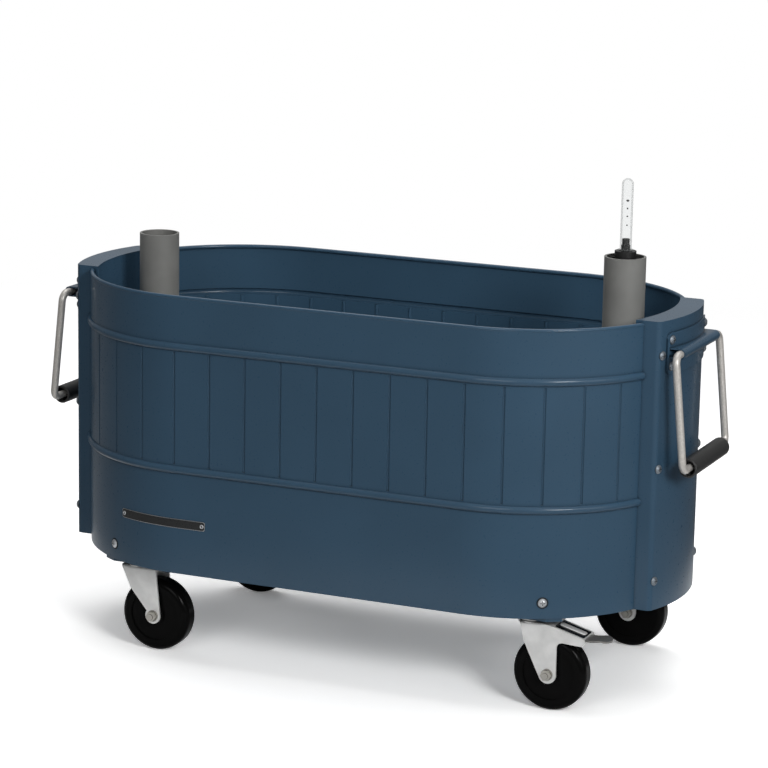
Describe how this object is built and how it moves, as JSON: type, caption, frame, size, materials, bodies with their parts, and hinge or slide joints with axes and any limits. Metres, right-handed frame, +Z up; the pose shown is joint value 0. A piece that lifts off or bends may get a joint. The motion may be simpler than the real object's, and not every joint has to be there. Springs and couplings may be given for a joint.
{
  "type": "rolling planter",
  "caption": "Oval sheet-steel tub on swivel casters, with a bail handle at each end, a filling tube, a float gauge and a perforated platform over a water tray.",
  "frame": {"origin": "on the floor under the middle of the tub", "axes": "+X along the length towards the gauge, front shell towards -Y, +Z up"},
  "size_m": [0.7522, 0.346, 0.537],
  "materials": {
    "blue_paint": "satin",
    "bright_zinc": "bright zinc plate",
    "grip_black": "matte",
    "dark_plastic": "matte",
    "tube_grey": "matte",
    "gauge_black": "satin",
    "clear_plastic": "clear",
    "bush_grey": "satin",
    "wheel_black": "satin"
  },
  "bodies": {
    "tub": {"front_shell": "blue_paint", "back_shell": "blue_paint", "left_end_panel": "blue_paint", "right_end_panel": "blue_paint", "left_inner_wall": "blue_paint", "right_inner_wall": "blue_paint", "floor_pan": "blue_paint", "left_cross_rail": "blue_paint", "right_cross_rail": "blue_paint", "left_handle_bracket": "blue_paint", "right_handle_bracket": "blue_paint", "shell_screws": "bright_zinc", "post_screws": "bright_zinc", "bracket_screws": "bright_zinc", "reservoir_tray": "dark_plastic", "soil_platform": "dark_plastic", "wicking_cups": "dark_plastic", "drain_plug": "dark_plastic", "filling_tube": "tube_grey", "gauge_tube": "tube_grey", "gauge_socket": "gauge_black", "sight_tube": "clear_plastic", "caster_nuts": "bright_zinc", "front_left_mount": "bright_zinc", "front_right_mount": "bright_zinc", "back_left_mount": "bright_zinc", "back_right_mount": "bright_zinc"},
    "left_handle": {"left_bail": "bright_zinc"},
    "right_handle": {"right_bail": "bright_zinc"},
    "left_handle_grip": {"left_grip": "grip_black"},
    "right_handle_grip": {"right_grip": "grip_black"},
    "gauge_float": {"water_float": "gauge_black"},
    "front_left_swivel": {"front_left_fork": "bright_zinc", "front_left_axle": "bright_zinc"},
    "front_left_rolling_wheel": {"front_left_wheel": "wheel_black", "front_left_bush": "bush_grey"},
    "front_right_swivel": {"front_right_fork": "bright_zinc", "front_right_axle": "bright_zinc", "front_right_brake_pin": "bright_zinc"},
    "front_right_rolling_wheel": {"front_right_wheel": "wheel_black", "front_right_bush": "bush_grey"},
    "front_right_brake": {"front_right_brake_pedal": "bright_zinc"},
    "back_left_swivel": {"back_left_fork": "bright_zinc", "back_left_axle": "bright_zinc"},
    "back_left_rolling_wheel": {"back_left_wheel": "wheel_black", "back_left_bush": "bush_grey"},
    "back_right_swivel": {"back_right_fork": "bright_zinc", "back_right_axle": "bright_zinc", "back_right_brake_pin": "bright_zinc"},
    "back_right_rolling_wheel": {"back_right_wheel": "wheel_black", "back_right_bush": "bush_grey"},
    "back_right_brake": {"back_right_brake_pedal": "bright_zinc"}
  },
  "joints": [
    {"name": "left_handle_swing", "type": "hinge", "parent": "tub", "child": "left_handle", "pos_m": [-0.3541, 0, 0.3705], "axis": [0, 1, 0], "range_deg": [0, 165]},
    {"name": "right_handle_swing", "type": "hinge", "parent": "tub", "child": "right_handle", "pos_m": [0.3541, 0, 0.3705], "axis": [0, -1, 0], "range_deg": [0, 165]},
    {"name": "left_grip_turn", "type": "hinge", "parent": "left_handle", "child": "left_handle_grip", "pos_m": [-0.36611, 0, 0.25231], "axis": [0, 1, 0], "continuous": true},
    {"name": "right_grip_turn", "type": "hinge", "parent": "right_handle", "child": "right_handle_grip", "pos_m": [0.36611, 0, 0.25231], "axis": [0, 1, 0], "continuous": true},
    {"name": "float_rise", "type": "slide", "parent": "tub", "child": "gauge_float", "axis": [0, 0, 1], "range_m": [0, 0.035]},
    {"name": "front_left_swivel_turn", "type": "hinge", "parent": "tub", "child": "front_left_swivel", "pos_m": [-0.2284, -0.1243, 0.091], "axis": [0, 0, 1], "continuous": true},
    {"name": "front_left_wheel_roll", "type": "hinge", "parent": "front_left_swivel", "child": "front_left_rolling_wheel", "pos_m": [-0.2056, -0.1243, 0.04], "axis": [0, 1, 0], "continuous": true},
    {"name": "front_right_swivel_turn", "type": "hinge", "parent": "tub", "child": "front_right_swivel", "pos_m": [0.2284, -0.1243, 0.091], "axis": [0, 0, 1], "continuous": true},
    {"name": "front_right_wheel_roll", "type": "hinge", "parent": "front_right_swivel", "child": "front_right_rolling_wheel", "pos_m": [0.2512, -0.1243, 0.04], "axis": [0, 1, 0], "continuous": true},
    {"name": "front_right_brake_press", "type": "hinge", "parent": "front_right_swivel", "child": "front_right_brake", "pos_m": [0.2642, -0.1243, 0.0843], "axis": [0, 1, 0], "range_deg": [0, 8]},
    {"name": "back_left_swivel_turn", "type": "hinge", "parent": "tub", "child": "back_left_swivel", "pos_m": [-0.2284, 0.1243, 0.091], "axis": [0, 0, 1], "continuous": true},
    {"name": "back_left_wheel_roll", "type": "hinge", "parent": "back_left_swivel", "child": "back_left_rolling_wheel", "pos_m": [-0.2056, 0.1243, 0.04], "axis": [0, 1, 0], "continuous": true},
    {"name": "back_right_swivel_turn", "type": "hinge", "parent": "tub", "child": "back_right_swivel", "pos_m": [0.2284, 0.1243, 0.091], "axis": [0, 0, 1], "continuous": true},
    {"name": "back_right_wheel_roll", "type": "hinge", "parent": "back_right_swivel", "child": "back_right_rolling_wheel", "pos_m": [0.2512, 0.1243, 0.04], "axis": [0, 1, 0], "continuous": true},
    {"name": "back_right_brake_press", "type": "hinge", "parent": "back_right_swivel", "child": "back_right_brake", "pos_m": [0.2642, 0.1243, 0.0843], "axis": [0, 1, 0], "range_deg": [0, 8]}
  ]
}
